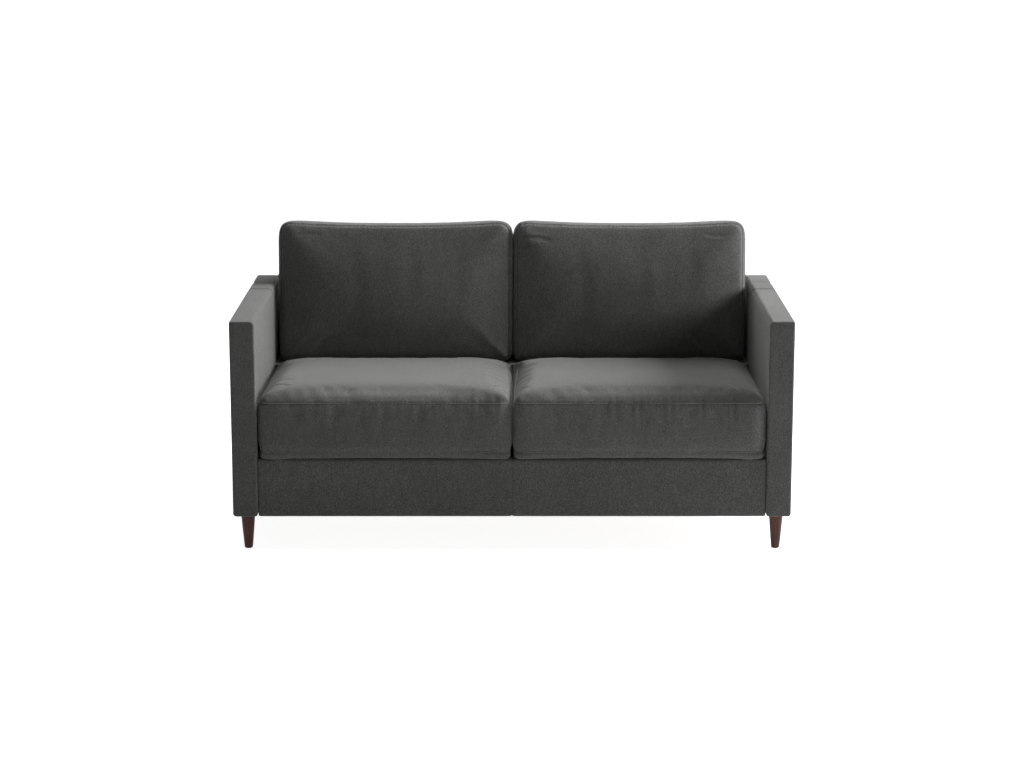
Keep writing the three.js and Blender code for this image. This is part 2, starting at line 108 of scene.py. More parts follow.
# Rounded rectangle as a loop: for each corner an arc of its radius, then even points along the
# side to the next corner. An inset draws every side in and shortens every radius by the same.
def roundedLoop(low, high, radii, inset, arcCount=7, sideCount=14):
    low = np.array(low, dtype=float) + inset
    high = np.array(high, dtype=float) - inset
    middle = (low + high) / 2
    low, high = np.minimum(low, middle), np.maximum(high, middle)
    corners = [(high[0], high[1], 1, 1), (low[0], high[1], -1, 1),
               (low[0], low[1], -1, -1), (high[0], low[1], 1, -1)]
    arcs = []
    for index, (u, v, signU, signV) in enumerate(corners):
        radius = min(max(radii[index] - inset, 0.0), (high[0] - low[0]) / 2, (high[1] - low[1]) / 2)
        turn = math.pi / 2 * index + np.linspace(0, math.pi / 2, arcCount)
        arcs.append(np.stack([u - signU * radius + radius * np.cos(turn),
                              v - signV * radius + radius * np.sin(turn)], axis=1))
    loop = []
    for index in range(4):
        start, finish = arcs[index][-1], arcs[(index + 1) % 4][0]
        share = np.linspace(0, 1, sideCount + 1)[1:-1, None]
        loop += [arcs[index], start + (finish - start) * share]
    return np.concatenate(loop)


# Stations (inset, depth) of a slab between two depths: rings step in from the middle of the low
# face, turn its edge with one radius, cross the side, turn the other edge and step in again.
def slabStations(low, high, lowRadius, highRadius, reach, rings=6, arc=6, sideSteps=4):
    inward = np.linspace(1, 0, rings + 1)[:-1] ** 1.4
    turn = np.linspace(0, math.pi / 2, arc)
    between = np.linspace(low + lowRadius, high - highRadius, sideSteps + 1)[1:-1]
    stations = [(lowRadius + (reach - lowRadius) * s, low) for s in inward]
    stations += [(lowRadius * (1 - math.sin(a)), low + lowRadius * (1 - math.cos(a))) for a in turn]
    stations += [(0.0, depth) for depth in between]
    stations += [(highRadius * (1 - math.cos(a)), high - highRadius * (1 - math.sin(a))) for a in turn]
    stations += [(highRadius + (reach - highRadius) * s, high) for s in inward[::-1]]
    return stations


# Closed body: a rounded rectangle in the plane of two axes, drawn in by each station's inset and
# placed at its depth along the third axis. puff moves points: it takes and returns xyz arrays.
def slab(name, axes, low, high, radii, stations, material, slot, puff=None, arcCount=7, sideCount=14):
    insets = [inset for inset, depth in stations]
    insets[0] = insets[-1] = min(high[0] - low[0], high[1] - low[1]) / 2
    loops = [roundedLoop(low, high, radii, inset, arcCount, sideCount) for inset in insets]
    count = len(loops[0])
    flat = np.concatenate(loops)
    points = np.zeros((len(stations) * count, 3))
    points[:, axes[0]] = flat[:, 0]
    points[:, axes[1]] = flat[:, 1]
    points[:, 3 - axes[0] - axes[1]] = np.repeat([depth for inset, depth in stations], count)
    quads = loopQuads(len(stations), count)
    if (axes[1] - axes[0]) % 3 != 1:
        quads = quads[:, ::-1]
    if puff:
        points = puff(points)
    return makePiece(name, points, quads, material, slot)


# Turned shape: a profile of radius and height, turned about a line along one axis.
def turned(name, profile, centre, axis, material, slot, body, count=40):
    profile = np.array(profile, dtype=float)
    turn = np.linspace(0, 2 * math.pi, count, endpoint=False)
    points = np.zeros((len(profile) * count, 3))
    points[:, (axis + 1) % 3] = np.outer(profile[:, 0], np.cos(turn)).ravel()
    points[:, (axis + 2) % 3] = np.outer(profile[:, 0], np.sin(turn)).ravel()
    points[:, axis] = np.repeat(profile[:, 1], count)
    piece = makePiece(name, points + np.array(centre), loopQuads(len(profile), count), material, slot)
    shadeSmooth(piece, 40)
    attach(piece, body)
    return piece


# Depth of a seam at a distance from its line: a narrow and a wide depth * exp(-(d / width)^2).
def seamDip(away, depth, width, dipDepth, dipWidth):
    return depth * np.exp(-(away / width) ** 2) + dipDepth * np.exp(-(away / dipWidth) ** 2)


# Wraps a shader socket, so that plain expressions build the Math nodes.
class Wave:
    def __init__(self, build, value):
        self.build = build
        self.value = value

    def join(self, operation, *others):
        return self.build.node("ShaderNodeMath", {"operation": operation}, self, *others)

    def __rsub__(self, other):
        return self.build.node("ShaderNodeMath", {"operation": "SUBTRACT"}, other, self)

    def joined(operation):
        return lambda self, *others: self.join(operation, *others)

    __add__, __sub__, __mul__ = joined("ADD"), joined("SUBTRACT"), joined("MULTIPLY")
    __truediv__, __pow__, __gt__ = joined("DIVIDE"), joined("POWER"), joined("GREATER_THAN")
    sin, abs = joined("SINE"), joined("ABSOLUTE")


# A material whose fixed sockets are given by name, and short calls for the nodes that feed the rest.
class Finish:
    def __init__(self, name, **fixed):
        self.material = bpy.data.materials.new(name)
        self.material.use_nodes = True
        self.tree = self.material.node_tree
        self.shader = self.tree.nodes["Principled BSDF"]
        for socket, value in fixed.items():
            self.shader.inputs[socket.replace("_", " ")].default_value = value

    # adds one node: its settings first, then the values or links of its sockets, by place or name
    def node(self, kind, settings=None, *inputs, out=0, **named):
        node = self.tree.nodes.new(kind)
        for setting, value in (settings or {}).items():
            if setting == "stops":
                self.setStops(node.color_ramp, value)
            else:
                setattr(node, setting, value)
        for index, value in list(enumerate(inputs)) + list(named.items()):
            key = index if isinstance(index, int) else index.replace("_", " ")
            if isinstance(value, Wave):
                self.tree.links.new(value.value, node.inputs[key])
            elif value is not None:
                node.inputs[key].default_value = value
        return Wave(self, node.outputs[out])

    def setStops(self, ramp, stops):
        while len(ramp.elements) < len(stops):
            ramp.elements.new(0.5)
        for element, (place, colour) in zip(ramp.elements, stops):
            element.position = place
            element.color = (*colour, 1)

    def place(self):
        return self.node("ShaderNodeTexCoord", out="Object")

    def parts(self, vector):
        split = self.tree.nodes.new("ShaderNodeSeparateXYZ")
        self.tree.links.new(vector.value, split.inputs[0])
        return [Wave(self, output) for output in split.outputs]

    def noise(self, where, scale, detail=2.0, roughness=0.5):
        return self.node("ShaderNodeTexNoise", {"noise_dimensions": "3D"}, Vector=where, Scale=scale,
                         Detail=detail, Roughness=roughness, out="Fac")

    def ramp(self, value, *stops):
        return self.node("ShaderNodeValToRGB", {"stops": stops}, value)

    def mixColour(self, factor, first, second):
        return self.node("ShaderNodeMix", {"data_type": "RGBA"}, factor, None, None, None, None, None,
                         first, second, out=2)

    def stretch(self, where, scale):
        return self.node("ShaderNodeMapping", None, where, Scale=scale)

    def link(self, value, socket):
        self.tree.links.new(value.value, self.shader.inputs[socket])

    def bump(self, height, distance, strength):
        raised = self.node("ShaderNodeBump", None, Strength=strength, Distance=distance, Height=height)
        self.link(raised, "Normal")


# colours run from dark to pale, in linear light; the seam tones are a paler copy of the cushion's, painted
# highlight along the seam cords
clothTones = dict(body=((0.043, 0.043, 0.0415), (0.098, 0.098, 0.0945), (0.22, 0.22, 0.211)),
                  cushion=((0.044, 0.044, 0.0425), (0.1, 0.1, 0.0965), (0.225, 0.225, 0.216)),
                  seam=((0.075, 0.075, 0.073), (0.17, 0.17, 0.165), (0.3, 0.3, 0.29)), threadPitch=0.0016)
woodTones = dict(leg=((0.022, 0.008, 0.006), (0.062, 0.021, 0.015), (0.12, 0.042, 0.029)),
                 slat=((0.36, 0.24, 0.13), (0.52, 0.37, 0.21), (0.62, 0.47, 0.29)))
steelTones = dict(frame=(0.03, 0.031, 0.034), plated=(0.52, 0.52, 0.53))
tickingTones = dict(dark=(0.36, 0.345, 0.305), middle=(0.42, 0.405, 0.365), sprig=(0.47, 0.455, 0.42, 1),
                    sprigPale=(0.5, 0.49, 0.46, 1), threadTurn=2600.0, sprigTurn=105.0)
rubberTone = (0.012, 0.012, 0.013)


# Heathered cloth: a plain weave bump on the three planes, mixed by the cube of how far the surface
# faces each, flecks and streaks of paler and darker fibre, and slow drifts of tone.
def heatherCloth(name, dark, middle, pale):
    cloth = Finish(name, Roughness=0.93, Sheen_Weight=0.3, Sheen_Roughness=0.45, Specular_IOR_Level=0.08)
    where = cloth.place()
    x, y, z = cloth.parts(where)
    normal = cloth.node("ShaderNodeNewGeometry", out="Normal")
    facing = [part.abs() ** 3.0 for part in cloth.parts(normal)]
    total = facing[0] + facing[1] + facing[2]

    # plain weave: warp and weft ridges take turns on a chequer of threads
    def weave(u, v):
        across = (u * (math.pi / clothTones["threadPitch"])).sin()
        along = (v * (math.pi / clothTones["threadPitch"])).sin()
        over = (across * along) > 0.0
        return over * across.abs() + (1 - over) * along.abs()

    threads = (weave(y, z) * facing[0] + weave(x, z) * facing[1] + weave(x, y) * facing[2]) / total
    fibre = cloth.noise(where, 950.0, 3.0, 0.7)
    fleck = cloth.noise(where, 520.0, 2.0, 0.6)
    streak = cloth.noise(cloth.stretch(where, (1.0, 0.14, 0.14)), 260.0, 2.0, 0.6)
    drift = cloth.noise(where, 7.0)
    tone = fleck * 0.6 + fibre * 0.32 + streak * 0.08 + drift * 0.08 + threads * 0.06
    cloth.link(cloth.ramp(tone, (0.36, dark), (0.56, middle), (0.72, pale)), "Base Color")
    cloth.bump(threads * 0.7 + fibre * 0.9, 0.0007, 0.55)
    return cloth.material


# Stained wood: noise stretched along the grain for the rings, and a finer one for the pores.
def stainedWood(name, tones, along, grain, rough):
    wood = Finish(name, Roughness=rough, Coat_Weight=0.04, Coat_Roughness=0.3, Specular_IOR_Level=0.22)
    where = wood.place()
    rings = wood.noise(wood.stretch(where, along), 60.0 * grain, 6.0, 0.62)
    pores = wood.noise(wood.stretch(where, tuple(a * 2.2 for a in along)), 420.0 * grain, 3.0, 0.6)
    dark, middle, pale = tones
    tone = rings * 0.8 + pores * 0.25
    wood.link(wood.ramp(tone, (0.38, dark), (0.54, middle), (0.68, pale)), "Base Color")
    wood.bump(pores * 0.6 + rings * 0.2, 0.0005, 0.35)
    return wood.material


# Steel: a fine orange peel in the coat, and slow wear that lifts its tone and its roughness.
def coatedSteel(name, colour, rough, metallic):
    steel = Finish(name, Metallic=metallic, Specular_IOR_Level=0.5)
    where = steel.place()
    peel = steel.noise(where, 900.0)
    wear = steel.noise(where, 26.0, 4.0, 0.6)
    lift = tuple(min(1.0, c * 1.5 + 0.01) for c in colour)
    steel.link(steel.ramp(wear, (0.4, colour), (0.75, lift)), "Base Color")
    steel.link(wear * 0.16 + (rough - 0.08), "Roughness")
    steel.bump(peel, 0.0004, 0.25)
    return steel.material


# Mattress cover: a pale knit with small sprigs where two sine waves cross, and a thread grain.
def tickingCloth(name):
    tones = tickingTones
    cover = Finish(name, Roughness=0.85, Sheen_Weight=0.15, Sheen_Roughness=0.4)
    where = cover.place()
    x, y, z = cover.parts(where)
    threads = (x * tones["threadTurn"]).sin() * ((y + z) * tones["threadTurn"]).sin()
    sprig = (x * tones["sprigTurn"]).sin() * ((y - z) * tones["sprigTurn"]).sin()
    figure = cover.ramp(sprig * 0.5 + 0.5, (0.55, (0.0, 0.0, 0.0)), (0.62, (1.0, 1.0, 1.0)))
    shade = cover.noise(where, 7.0, 3.0)
    base = cover.ramp(shade, (0.3, tones["dark"]), (0.7, tones["middle"]))
    pale = cover.mixColour(0.5, tones["sprig"], tones["sprigPale"])
    cover.link(cover.mixColour(figure * 0.35, base, pale), "Base Color")
    cover.bump(threads * 0.5 + shade, 0.0006, 0.35)
    return cover.material


# Moulded rubber: one even colour with fine specks.
def moulded(name, colour, rough):
    rubber = Finish(name, Roughness=rough)
    speck = rubber.noise(rubber.place(), 700.0, 3.0, 0.6)
    rubber.link(rubber.ramp(speck, (0.3, colour), (0.8, tuple(c * 1.6 for c in colour))), "Base Color")
    rubber.bump(speck, 0.0003, 0.3)
    return rubber.material


bodyCloth = heatherCloth("bodyCloth", *clothTones["body"])
cushionCloth = heatherCloth("cushionCloth", *clothTones["cushion"])
# the seam cords' cloth is paler than the cushion cloth: a painted highlight along the seams
seamHighlightCloth = heatherCloth("seamHighlightCloth", *clothTones["seam"])
legWood = stainedWood("legWood", woodTones["leg"], (1.0, 1.0, 0.12), 1.0, 0.5)
slatWood = stainedWood("slatWood", woodTones["slat"], (0.06, 1.0, 1.0), 0.8, 0.55)
frameSteel = coatedSteel("frameSteel", steelTones["frame"], 0.42, 0.0)
platedSteel = coatedSteel("platedSteel", steelTones["plated"], 0.3, 1.0)
ticking = tickingCloth("ticking")
capRubber = moulded("capRubber", rubberTone, 0.75)
print("materials made")

armLook = dict(inner=753.0, outer=827.5, front=-435.0, rear=139.0, low=106.0, high=694.0, frontEdge=5.0,
               rearEdge=9.0, innerTop=15.0, outerTop=5.0, lowCorner=10.0, reach=37.0, rearTopTurn=4.0,
               turnHeight=190.0, taper=0.006, wave=0.9, waveAt=640.0, waveSpread=45.0, waveLength=37.0,
               pocketDepth=14.0, pocketFront=-405.0, pocketLow=90.0, pocketHigh=378.0, overrun=20.0,
               sharpFrom=50)


# Moves an arm's points: the rear top corner turns down by r * (1 - sqrt(1 - run^2)), the faces draw
# in towards their edges by a share of 1 - 4 s (1 - s), and sine ripples run along the inner face.
def armPuff(side):
    look = armLook

    def puff(points):
        x, y, z = points.T
        run = np.clip((y - look["rear"]) / look["rearTopTurn"] + 1, 0, 1)
        drop = look["rearTopTurn"] * (1 - np.sqrt(1 - run ** 2 * 0.985))
        upper = np.clip((z - look["high"]) / look["turnHeight"] + 1, 0, 1)
        innerShare = np.clip((look["inner"] + 20 - side * x) / 14, 0, 1)
        z = z - drop * upper * innerShare ** 2 * (3 - 2 * innerShare)
        along = np.clip((y - look["front"]) / (look["rear"] - look["front"]), 0, 1)
        up = np.clip((z - look["low"]) / (look["high"] - look["low"]), 0, 1)
        swell = 4 * along * (1 - along) * 4 * up * (1 - up)
        middle = side * (look["inner"] + look["outer"]) / 2
        x = middle + (x - middle) * (1 - look["taper"] * (1 - swell))
        ripple = np.sin(y / look["waveLength"] + 1.3 * np.sin(y / 90.0))
        ripple *= np.exp(-((z - look["waveAt"]) / look["waveSpread"]) ** 2)
        x = x + side * look["wave"] * ripple * np.where(side * (x - middle) < 0, 1, 0)
        return np.stack([x, y, z], axis=1)
    return puff


# Cuts one plain box out of a piece.
def cutBox(piece, low, high):
    low, high = np.array(low) * mm, np.array(high) * mm
    unit = np.array([[i, j, k] for i in (0, 1) for j in (0, 1) for k in (0, 1)], dtype=float)
    mesh = bpy.data.meshes.new("cutter")
    quads = [(0, 1, 3, 2), (4, 6, 7, 5), (0, 4, 5, 1), (2, 3, 7, 6), (0, 2, 6, 4), (1, 5, 7, 3)]
    mesh.from_pydata((low + unit * (high - low)).tolist(), [], quads)
    cutter = bpy.data.objects.new("cutter", mesh)
    bpy.context.scene.collection.objects.link(cutter)
    step = piece.modifiers.new("pocket", "BOOLEAN")
    step.operation = "DIFFERENCE"
    step.solver = "EXACT"
    step.object = cutter
    settle(piece)
    bpy.data.objects.remove(cutter)


for word, side in sides:
    look = armLook
    near, far = sorted((side * look["inner"], side * look["outer"]))
    radii = (look["outerTop"], look["innerTop"])[::side] + (look["lowCorner"],) * 2
    stations = slabStations(look["front"], look["rear"], look["frontEdge"], look["rearEdge"],
                            look["reach"], 5, 6, 40)
    arm = slab(f"arm_{word}_cover", (0, 2), (near, look["low"]), (far, look["high"]), radii, stations,
               bodyCloth, "body_fabric", armPuff(side), 7, 26)
    near = side * (look["inner"] - look["overrun"])
    near, far = sorted((near, side * (look["inner"] + look["pocketDepth"])))
    cutBox(arm, (near, look["pocketFront"], look["pocketLow"]),
           (far, look["rear"] + look["overrun"], look["pocketHigh"]))
    shadeSmooth(arm, look["sharpFrom"])
    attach(arm, "chassis")
    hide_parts(f"arm_{word}")

returnLook = dict(inner=767.2, outer=827.5, front=139.6, rear=440.0, low=106.0, high=694.0,
                  corners=(38.0, 4.0, 8.0, 14.0), innerEdge=14.0, outerEdge=6.0, reach=150.0, stepIn=12.8,
                  stepEdge=812.0, stepFrom=390.0, seam=(2.6, 3.2, 3.0, 26.0), seamAt=268.0, seamFrom=640.0)


# Moves the side of the back unit: a seam crosses its top, and above the cushion ledge its inner face
# is padded inwards by stepIn.
def returnPuff(points):
    look = returnLook
    x, y, z = points.T
    inner = np.clip((look["stepEdge"] - np.abs(x)) / 30, 0, 1)
    x = x - np.sign(x) * look["stepIn"] * inner * np.clip((z - look["stepFrom"]) / 12, 0, 1)
    z = z - seamDip(y - look["seamAt"], *look["seam"]) * np.clip((z - look["seamFrom"]) / 50, 0, 1)
    return np.stack([x, y, z], axis=1)


for word, side in sides:
    look = returnLook
    near, far = sorted((side * look["inner"], side * look["outer"]))
    edges = (look["innerEdge"], look["outerEdge"])[::side]
    cover = slab(f"back_return_{word}_cover", (1, 2), (look["front"], look["low"]),
                 (look["rear"], look["high"]), look["corners"],
                 slabStations(near, far, *edges, look["reach"], 9, 7, 5),
                 bodyCloth, "body_fabric", returnPuff, 8, 36)
    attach(cover, "chassis")
    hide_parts(f"back_return_{word}")

panelLook = dict(half=766.9, front=388.0, rear=440.0, low=106.0, high=694.0, corner=12.0, frontEdge=10.0,
                 rearEdge=14.0, reach=290.0, seam=(2.2, 2.6, 1.2, 14.0))


# Sinks a seam down the middle of the back panel's rear face.
def panelPuff(points):
    look = panelLook
    x, y, z = points.T
    y = y - seamDip(x, *look["seam"]) * np.clip((y - look["rear"]) / 15 + 1, 0, 1)
    return np.stack([x, y, z], axis=1)


look = panelLook
stations = slabStations(look["front"], look["rear"], look["frontEdge"], look["rearEdge"],
                        look["reach"], 14, 7, 4)
panel = slab("back_panel_cover", (0, 2), (-look["half"], look["low"]), (look["half"], look["high"]),
             (look["corner"],) * 4, stations, bodyCloth, "body_fabric", panelPuff, 6, 90)
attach(panel, "chassis")
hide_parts("back_panel")

ledgeLook = dict(half=766.5, front=192.0, rear=387.6, low=431.1, high=440.9, edge=3.0, corner=4.0, reach=85.0)
look = ledgeLook
stations = slabStations(look["low"], look["high"], look["edge"], look["edge"], look["reach"], 4, 4, 1)
ledge = slab("cushion_ledge_cover", (0, 1), (-look["half"], look["front"]), (look["half"], look["rear"]),
             (look["corner"],) * 4, stations, bodyCloth, "body_fabric", None, 4, 30)
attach(ledge, "chassis")
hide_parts("cushion_ledge")
print("arms and back made")

railLook = dict(half=752.2, front=-426.0, rear=-406.0, low=103.5, high=280.0, round=9.9, skinRear=-424.2,
                skinShare=0.012, skinLift=1.8, hollowNear=678.9, hollowFar=709.7,
                seam=(1.6, 2.2, 0.64, 9.0), ripple=0.35, rippleAt=12.0,
                endInsets=((0.0, 2.2), (0.8, 1.0), (2.5, 0.3), (6.0, 0.0)), closing=(9.9, 6.0))


# Front rail: a slot-shaped profile in the side view, carried across. A seam sinks round its middle,
# sine ripples fade above its lower edge, and behind the hinge ears only the front skin is left.
def railPuff(points):
    look = railLook
    x, y, z = points.T
    inHollow = (np.abs(x) > look["hollowNear"]) & (np.abs(x) < look["hollowFar"])
    behind = inHollow & (y > look["skinRear"])
    y = np.where(behind, look["skinRear"] + look["skinShare"] * (y - look["skinRear"]), y)
    z = np.where(behind, np.maximum(z, look["low"] + look["skinLift"]), z)
    seam = seamDip(x, *look["seam"])
    middleY, middleZ = (look["front"] + look["rear"]) / 2, (look["low"] + look["high"]) / 2
    edge = np.clip(np.abs(z - middleZ) / 80, 0, 1) ** 6
    y = y + seam * np.clip((middleY - y) / 5, -1, 1) * (1 - edge)
    z = z - seam * np.sign(z - middleZ) * edge
    ripple = look["ripple"] * np.sin(x / 21.0 + np.sin(x / 57.0))
    ripple *= np.exp(-np.abs(z - look["low"] - look["rippleAt"]) / 22.0)
    return np.stack([x, y + ripple * np.clip((middleY - y) / 5, 0, 1), z], axis=1)


look = railLook
insetAt = {look["half"] - step: inset for step, inset in look["endInsets"]}
places = list(insetAt) + list(np.linspace(660, 30, 50)) + [20, 12, 8, 5, 3, 2, 1, 0]
for edge in (look["hollowFar"], look["hollowNear"]):
    places += [edge + 0.05, edge - 0.05]
places = sorted(set(places) | {-place for place in places})
closing = [(inset, look["half"]) for inset in look["closing"]]
stations = [(inset, -place) for inset, place in closing]
stations += [(insetAt.get(abs(place), 0.0), place) for place in places] + closing[::-1]
rail = slab("front_rail_cover", (1, 2), (look["front"], look["low"]), (look["rear"], look["high"]),
            (look["round"],) * 4, stations, bodyCloth, "body_fabric", railPuff, 8, 16)
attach(rail, "knee_section")
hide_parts("front_rail")

legLook = dict(x=787.0, front=-390.0, rear=395.0, top=102.7, topRadius=21.0, footRadius=12.0)
for end in ("front", "rear"):
    for word, side in sides:
        foot, top = legLook["footRadius"], legLook["topRadius"]
        rise = np.linspace(0.04, 0.985, 14)
        profile = [(0.0, 0.0), (foot - 3.2, 0.0), (foot - 1.2, 0.8), (foot - 0.2, 2.4)]
        profile += [(foot + (top - foot) * share ** 0.92, share * legLook["top"]) for share in rise]
        profile += [(top - 0.6, legLook["top"] - 0.3), (0.0, legLook["top"])]
        leg = turned(f"leg_{end}_{word}_turned", profile, (side * legLook["x"], legLook[end], 0), 2, legWood,
                     "leg_wood", "chassis", 48)
        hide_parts(f"leg_{end}_{word}")
print("rail and legs made")

# CAD pieces that stay take their finish by how their names start, bed_leg_cap before bed_leg
finishes = ((capRubber, ("bed_leg_cap",)),
            (platedSteel, ("leg_plate",)),
            (slatWood, ("head_slat", "body_slat", "foot_slat")),
            (frameSteel, ("side_rail", "cross_stretcher", "head_pivot", "head_side", "head_cross",
                          "body_side", "body_cross", "knee_plate", "foot_side", "foot_cross", "bed_leg",
                          "link")))
for name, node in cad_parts.items():
    for finish, starts in finishes:
        if name.startswith(starts):
            node.data.materials.clear()
            node.data.materials.append(finish)
            break

# y and z of the bed's four hinge lines, and where the heads of the pins stand
hinges = {"head": (375.0, 352.0), "tail": (375.0, 116.0), "low": (-416.0, 116.0), "high": (-416.0, 270.0)}
pinLook = dict(radius=7.0, tailX=709.35, linkX=756.9, linkFootX=762.05, linkHigh=(-145, 352),
               linkLow=(-145, 116))


# Low domed head of a pin, facing left or right: its radius shrinks as the dome rises.
def pinHead(name, at, side, body, rise):
    radius = pinLook["radius"]
    profile = [(0.0, 0.0), (radius, 0.0), (radius * 0.93, rise * 0.3), (radius * 0.7, rise * 0.68),
               (radius * 0.35, rise * 0.94), (0.0, rise)]
    profile = [(r, side * h) for r, h in profile][::side]
    turned(name, profile, at, 0, platedSteel, "plated_steel", body, 28)


for word, side in sides:
    look = pinLook
    link = f"parallel_link_{word}"
    pinHead(f"tail_pin_head_{word}", (side * look["tailX"], *hinges["tail"]), side, "body_section", 2.4)
    pinHead(f"link_pin_head_{word}", (side * look["linkX"], *look["linkHigh"]), -side, link, 2.0)
    pinHead(f"link_foot_head_{word}", (side * look["linkFootX"], *look["linkLow"]), side, link, 1.4)
print("frame finished")

# mattress: one quilted foam pad in four pieces and three folds
mattressLook = dict(halfWidth=679.0, near=10.6, far=75.6, corners=(17.0, 17.0, 8.0, 8.0), quilt=118.0,
                    quiltDepth=6.5, quiltFrom=40.0, border=30.0, borderWidth=5.0, borderDepth=2.5, step=14.0,
                    across=92, gap=1.1, closing=33.0, foldLayers=18, foldHalf=1.16,
                    joins=(159, 313, 950, 1104, 1258), calm=11.0, fill=0.9)
# along is the way a piece runs and inward the way its foam lies, both as y and z
sections = {
    "head": dict(body="head_section", hinge="head", along=(0, -1), inward=(-1, 0), length=236.0),
    "body": dict(body="body_section", hinge="tail", along=(-1, 0), inward=(0, 1), length=791.0),
    "knee": dict(body="knee_section", hinge="low", along=(0, 1), inward=(1, 0), length=154.0),
    "foot": dict(body="foot_section", hinge="high", along=(1, 0), inward=(0, -1), length=629.0)}
runStart = dict(zip(sections, np.cumsum([0.0] + [section["length"] for section in sections.values()])))


# Cross-section of the pad: a rounded rectangle across the bed, with tighter corners underneath.
def padLoop(inset=0.0):
    look = mattressLook
    return roundedLoop((-look["halfWidth"], look["near"]), (look["halfWidth"], look["far"]), look["corners"],
                       inset, 8, look["across"])


# Loops at one station that step in evenly to the middle of an end face, the innermost first.
def endLoops(count, station):
    shares = np.linspace(1, 0, count + 1)[:-1]
    return [(padLoop(mattressLook["closing"] * share), station) for share in shares]


# Sinks the pad's upper face along two sets of slanted stitch lines, |sin(x + run)| and
# |sin(x - run)|, which cross as diamonds and fade beside the lines where its pieces meet.
def quilted(x, depth, run):
    look = mattressLook
    first = np.abs(np.sin(math.pi * (x + run) / look["quilt"]))
    second = np.abs(np.sin(math.pi * (x - run) / look["quilt"]))
    plump = np.clip(np.minimum(first, second) * 2.2, 0, 1) ** 0.45
    for join in look["joins"]:
        plump = 1 - (1 - plump) * (1 - np.exp(-((run - join) / look["calm"]) ** 2))
    share = np.clip((depth - look["quiltFrom"]) / (look["far"] - look["quiltFrom"]), 0, 1)
    fromBorder = look["halfWidth"] - look["border"] - np.abs(x)
    inside = np.clip((fromBorder - 4) / 18, 0, 1)
    border = np.exp(-(fromBorder / look["borderWidth"]) ** 2)
    return depth - share * (look["quiltDepth"] * (1 - plump) * inside + look["borderDepth"] * border)


# Joins loops into one closed piece of foam. place gives the xyz points of a loop at its station.
def padPiece(name, loops, place):
    points = np.concatenate([place(loop, station) for loop, station in loops])
    piece = makePiece(name, points, loopQuads(len(loops), len(loops[0][0])), ticking, "ticking")
    turnOutward(piece)
    return piece


for name, section in sections.items():
    origin = np.array(hinges[section["hinge"]])
    startMitre = 0 if name == "head" else 1
    endMitre = 0 if name == "foot" else 1

    # a station from 0 to 1 runs from one end plane to the other; mitred planes lean with the depth
    def place(loop, station):
        x, depth = loop.T
        mitre = depth + mattressLook["gap"] * 1.42
        first, last = startMitre * mitre, section["length"] - endMitre * mitre
        run = first + (last - first) * station
        sunk = quilted(x, depth, runStart[name] + run)
        flat = origin + np.outer(run, section["along"]) + np.outer(sunk, section["inward"])
        return np.column_stack([x, flat])

    steps = max(6, int(section["length"] / mattressLook["step"]))
    loops = endLoops(5, 0.0)
    if not startMitre:
        loops += [(padLoop(9.0), 0.0), (padLoop(3.0), 0.012), (padLoop(0.8), 0.03)]
    loops += [(padLoop(), s) for s in np.linspace(0 if startMitre else 0.05, 1 if endMitre else 0.975, steps)]
    if not endMitre:
        loops += [(padLoop(0.8), 0.985), (padLoop(3.0), 0.994), (padLoop(9.0), 1.0)]
    piece = padPiece(f"mattress_{name}", loops + endLoops(5, 1.0)[::-1], place)
    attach(piece, section["body"])
    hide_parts(f"{name}_mattress")

# Folds: thin leaves of foam on each mitre plane. Each leaf is as deep as the pad is there once the
# fold has opened, depth / cos(turn).
names = list(sections)
for firstName, secondName in zip(names[:-1], names[1:]):
    first, second = sections[firstName], sections[secondName]
    origin = np.array(hinges[second["hinge"]])
    mitreWay = (np.array(first["inward"]) + np.array(second["inward"])) / math.sqrt(2)
    across = (np.array(first["along"]) + np.array(second["along"])) / math.sqrt(2)
    half = mattressLook["foldHalf"]

    # a station from -1 to 1 crosses the fold, and turn goes from -45 to 45 degrees with it
    def place(loop, station):
        x, depth = loop.T
        share = np.clip((station + 1) / 2, 0, 1)
        turn = (share * share * (3 - 2 * share) - 0.5) * math.pi / 2
        sunk = quilted(x, depth, runStart[secondName] + depth * math.tan(turn)) / math.cos(turn)
        return np.column_stack([x, origin + np.outer(sunk, mitreWay) + across * station * half])

    loops = endLoops(3, -1.0)
    loops += [(padLoop(), s) for s in np.linspace(-1, 1, mattressLook["foldLayers"])]
    fold = padPiece(f"mattress_fold_{second['hinge']}", loops + endLoops(3, 1.0)[::-1], place)
    low, high = (origin - across * half) * mm, (origin + across * half) * mm
    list(low)
    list(high)
    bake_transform(fold)
print("mattress made")

clothLook = dict(held=4.2, seamWidth=4.6, waves=(23, 31, 44, 67, 101), patch=150.0, bow=0.07, nest=4.0,
                 nestReach=50.0,
                 settings=dict(quality=5, mass=0.25, tension_stiffness=12, compression_stiffness=12,
                               shear_stiffness=6, bending_stiffness=0.8, air_damping=2.0,
                               use_pressure=True, vertex_group_mass="seams"))


# One vector of each vertex, its place (co) or its normal, as an array.
def meshVectors(piece, kind):
    vectors = np.empty(len(piece.data.vertices) * 3)
    piece.data.vertices.foreach_get(kind, vectors)
    return vectors.reshape(-1, 3)


def meshPoints(piece):
    return meshVectors(piece, "co") / mm


def setPoints(piece, points):
    piece.data.vertices.foreach_set("co", (points * mm).ravel())
    piece.data.update()


# Distance of every point to the nearest point of a path, and that path point's number.
def nearest(points, path, batch=4000):
    distances, numbers = [], []
    for start in range(0, len(points), batch):
        between = np.linalg.norm(points[start:start + batch, None, :] - path[None, :, :], axis=2)
        distances.append(between.min(axis=1))
        numbers.append(between.argmin(axis=1))
    return np.concatenate(distances), np.concatenate(numbers)


